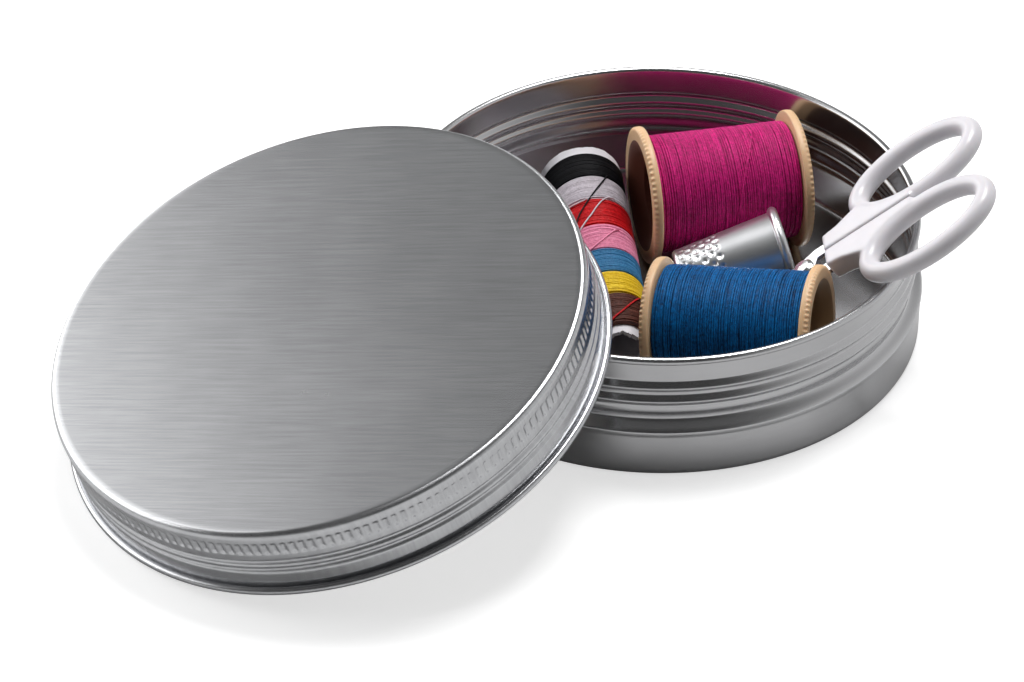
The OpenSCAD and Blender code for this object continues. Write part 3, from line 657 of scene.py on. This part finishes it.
def make_strands():
    """The loose ends that the photograph shows, their marks read along each one."""
    on_cop = [
        ("black_strand", BLACK_THREAD, "black_thread", 0.32,
         [(-59.6, 48.1), (-71.9, 44.9), (-86.7, 41.5), (-105.1, 37.5), (-117.4, 34.9), (-123.3, 33.0)]),
        ("white_strand", WHITE_THREAD, "white_thread", 0.30,
         [(-56.9, 41.4), (-74.5, 39.4), (-87.0, 37.1), (-98.3, 34.6), (-111.0, 32.5), (-120.8, 31.2)]),
        ("white_edge_strand", WHITE_THREAD, "white_thread", 0.24,
         [(-135.0, 39.0), (-109.0, 39.2), (-92.1, 40.0), (-72.3, 40.1), (-55.0, 40.6)]),
        ("pink_strand", PINK_THREAD, "pink_thread", 0.28,
         [(-60.0, 30.6), (-67.7, 30.0), (-89.3, 26.9), (-110.0, 24.7), (-128.0, 23.6)]),
        ("red_strand", RED_THREAD, "red_thread", 0.34,
         [(-104.0, 3.2), (-97.7, 4.0), (-81.5, 5.8), (-55.8, 9.5), (-44.0, 11.0)])]
    for name, material, slot, thick, marks in on_cop:
        strand(name, marks, cop_radius, COP, "cop", material, thick)
    on_reel = [(-186.0, 6.4), (-169.7, 5.6), (-137.5, 3.2), (-114.3, 1.8), (-88.9, 0.9), (-70.0, 0.5)]
    strand("magenta_strand", on_reel, lambda z: THREAD_R["magenta"], MAGENTA, "magenta",
           MAGENTA_THREAD, 0.34, lift=0.08)


def thimble_radius(z):
    """The wall's outside, widening from the closed end to just under the rolled rim."""
    widening = THIMBLE_RIM_R - THIMBLE_ROLL_PROUD - THIMBLE_TIP_R
    return THIMBLE_TIP_R + widening * (z + THIMBLE_H) / (THIMBLE_H - THIMBLE_ROLL_H)


def dimple_marks():
    """Staggered rows round the lower part of the wall, a little uneven, and rings over the closed end."""
    marks = []
    for row in range(DIMPLE_ROWS):
        z = -THIMBLE_H + FIRST_DIMPLES + row * DIMPLE_STEP
        for i in range(DIMPLES_ROUND):
            t = 2 * math.pi * (i + 0.5 * (row % 2)) / DIMPLES_ROUND + 0.03 * rng.normal()
            r = thimble_radius(z)
            marks.append((r * math.cos(t), r * math.sin(t), z + 0.1 * rng.normal()))
    for r, count in DIMPLE_RINGS:
        for i in range(count):
            t = 2 * math.pi * (i + 0.3 * r) / count
            marks.append((r * math.cos(t), r * math.sin(t), -THIMBLE_H))
    return np.array(marks)


def make_thimble():
    """One shell from the closed end, up the wall, over the rolled rim and back inside, then dimpled."""
    h, rim, flat_r = THIMBLE_H, THIMBLE_RIM_R, THIMBLE_TIP_R - 1.0
    outer = [(0, -h)] + [(r, -h) for r in np.linspace(0.4, flat_r, 14)]
    outer += arc(flat_r, -h + THIMBLE_CORNER_R, THIMBLE_CORNER_R, -80, -8, 6)
    outer += [(thimble_radius(z), z) for z in np.linspace(-h + 1.2, -2.0, 90)]
    roll = [(rim - 0.80, -2.05)] + arc(rim - THIMBLE_ROLL_R, -1.02, THIMBLE_ROLL_R, -58, 90, 12)
    roll += [(rim - 1.3, -0.14), (rim - 1.58, -0.45)]
    inner = [(thimble_radius(z) - THIMBLE_WALL, z) for z in np.linspace(-1.6, -h + 1.2, 12)]
    inner += [(THIMBLE_TIP_R - 1.8, -h + THIMBLE_WALL), (0, -h + THIMBLE_WALL)]
    columns = 288
    points, faces = lathe(outer + roll + inner, columns)
    points = np.array(points)
    outside = np.arange(len(points)) < 1 + (len(outer) - 1) * columns
    inward = np.array([0, 0, -h * 0.45]) - points
    inward /= np.linalg.norm(inward, axis=1)[:, None]
    for mark in dimple_marks():
        away = np.linalg.norm(points - mark, axis=1)
        near = outside & (away < DIMPLE_R)
        depth = DIMPLE_DEPTH * (0.5 + 0.5 * np.cos(math.pi * away[near] / DIMPLE_R))
        points[near] += inward[near] * depth[:, None]
    piece("thimble_shell", points, faces, THIMBLE, "thimble", THIMBLE_METAL,
          ["thimble"], sharp=60)


def make_handle(side, body, solid):
    """A finger loop and its shank, melted together and smoothed."""
    mid_x, mid_y = HANDLE_START + LOOP_REACH, LOOP_W / 2 + LOOP_T / 2 + HALF_GAP
    marks, melt_room = 96, 0.02
    a = np.arange(marks) * 2 * math.pi / marks
    loop = np.stack([mid_x + LOOP_L / 2 * np.cos(a), side * (mid_y + LOOP_W / 2 * np.sin(a)), 0 * a], 1)
    points, faces = tube(loop, LOOP_T / 2 - melt_room, sides=20, closed=True)
    # The shank in plan: along its straight inner edge, round the root of the loop and back along the outer edge
    x0, x1, y0, y1 = HANDLE_START, mid_x - LOOP_L / 2, HALF_GAP, HALF_GAP + SHANK_W
    shank = [(x0, y0), (mid_x - 1, y0), (mid_x - 1, 2.2), (mid_x - 6, 3.0), (x1 + 3.2, 4.8),
             (x1 + 0.8, 7.2), (x1 - 1.4, y1 + 1.9), (x1 - 4.5, y1 + 0.5), (x0, y1 - 0.2)]
    n, first = len(shank), len(points)
    low, high = range(first, first + n), range(first + n, first + 2 * n)
    points = [*points, *((x, side * y, z) for z in (-SHANK_T / 2, SHANK_T / 2) for x, y in shank)]
    faces += [list(low), list(high)[::-1]]
    faces += [[low[i], high[i], high[(i + 1) % n], low[(i + 1) % n]] for i in range(n)]
    handle = piece(solid + "_moulded", points, faces, SCISSORS, body, HANDLE_WHITE,
                   [solid], sharp=0)
    melt = handle.modifiers.new("melt", "REMESH")
    melt.mode, melt.voxel_size, melt.use_smooth_shade = "VOXEL", 0.28 * MM, True
    smooth = handle.modifiers.new("smooth", "SMOOTH")
    smooth.factor, smooth.iterations = 0.5, 14


def make_scissors():
    """New handles, and the solids' own blades and rivet."""
    make_handle(-1, "scissors_half", "handle_lower")
    make_handle(1, "scissors", "handle_upper")
    finish_only("blade_lower", BLADE_STEEL)
    finish_only("blade_upper", BLADE_STEEL)
    finish_only("rivet", RIVET_STEEL)


def make_floor():
    """A pale floor that the camera sees a little brighter than its shaded colour."""
    reach, below, glow = 6.0, -0.00005, 0.63
    mesh = bpy.data.meshes.new("floor")
    corners = [(-reach, -reach, 0), (reach, -reach, 0), (reach, reach, 0), (-reach, reach, 0)]
    mesh.from_pydata(corners, [], [(0, 1, 2, 3)])
    floor = bpy.data.objects.new("floor", mesh)
    scene.collection.objects.link(floor)
    floor.location.z = below
    material, tree, shader = blank("floor_white", {
        "Base Color": (0.66, 0.66, 0.66, 1), "Roughness": 0.9, "Specular IOR Level": 0.1,
        "Emission Color": (1, 1, 1, 1)})
    path = node(tree, "ShaderNodeLightPath").outputs
    seen = maths(tree, "ADD", path["Is Camera Ray"], path["Is Transmission Ray"], clamp=True)
    tree.links.new(maths(tree, "MULTIPLY", seen, glow), shader.inputs["Emission Strength"])
    mesh.materials.append(material)


def make_room():
    """The light of the room: dim in front, brighter behind and to the right, brightest behind to the left."""
    world = bpy.data.worlds.new("studio")
    scene.world = world
    world.use_nodes = True
    tree = world.node_tree
    tree.nodes.clear()
    direction = node(tree, "ShaderNodeTexCoord").outputs["Generated"]
    facing = node(tree, "ShaderNodeSeparateXYZ", {0: direction}).outputs

    def ramp(axis, start, end, low, high):
        """A strength that runs from low to high between two places on an axis of the room."""
        inputs = {"Value": facing[axis], "From Min": start, "From Max": end, "To Min": low, "To Max": high}
        return node(tree, "ShaderNodeMapRange", inputs, interpolation_type="SMOOTHSTEP").outputs[0]

    front_to_back = ramp("Y", -0.7, 0.5, 0.08, 0.28)
    right = ramp("X", 0.35, 0.9, 0.0, 0.7)
    left_behind = maths(tree, "MULTIPLY", ramp("X", -0.42, -0.53, 0.0, 3.3), ramp("Y", 0.0, 0.4, 0.0, 1.0))
    strength = maths(tree, "ADD", front_to_back, maths(tree, "ADD", left_behind, right))
    ambient = node(tree, "ShaderNodeBackground", {"Strength": strength})
    white = node(tree, "ShaderNodeBackground", {"Strength": 1.0})
    seen = node(tree, "ShaderNodeLightPath").outputs["Is Camera Ray"]
    mix = node(tree, "ShaderNodeMixShader", {0: seen, 1: ambient.outputs[0], 2: white.outputs[0]})
    node(tree, "ShaderNodeOutputWorld", {"Surface": mix.outputs[0]})


def make_softbox(name, place, size, power):
    """A square or oblong lamp turned towards the tin."""
    light = bpy.data.lights.new(name, "AREA")
    light.shape, light.size, light.size_y, light.energy = "RECTANGLE", size[0], size[1], power
    obj = bpy.data.objects.new(name, light)
    scene.collection.objects.link(obj)
    obj.location = place
    obj.rotation_mode = "QUATERNION"
    aim = Vector((0, 0, 0.01))
    obj.rotation_quaternion = (aim - Vector(place)).to_track_quat("-Z", "Y")


def make_camera():
    """The photograph's view, as fitted to the outlines of the tin and the lid."""
    place = (-0.0281, -0.56639, 0.41138)
    back, up = Vector((0.0, -0.8049, 0.5935)), Vector((0.0078, 0.5935, 0.8048))
    data = bpy.data.cameras.new("camera")
    data.sensor_width, data.lens = 36.0, 126.503
    data.clip_start, data.clip_end = 0.05, 30
    camera = bpy.data.objects.new("camera", data)
    scene.collection.objects.link(camera)
    back.normalize()
    right = up.cross(back).normalized()
    facing = Matrix((right, back.cross(right), back)).transposed().to_4x4()
    camera.matrix_world = Matrix.Translation(place) @ facing
    scene.camera = camera


scene.view_settings.view_transform = "Standard"
make_camera()
make_floor()
make_room()
make_softbox("key", (0.12, 0.30, 0.95), (0.45, 0.45), 9.5)
make_softbox("side", (-0.95, 0.05, 0.45), (0.6, 0.5), 2.0)
make_tin()
make_lid()
make_reels()
make_cop()
make_strands()
make_thimble()
make_scissors()
bpy.context.view_layer.update()
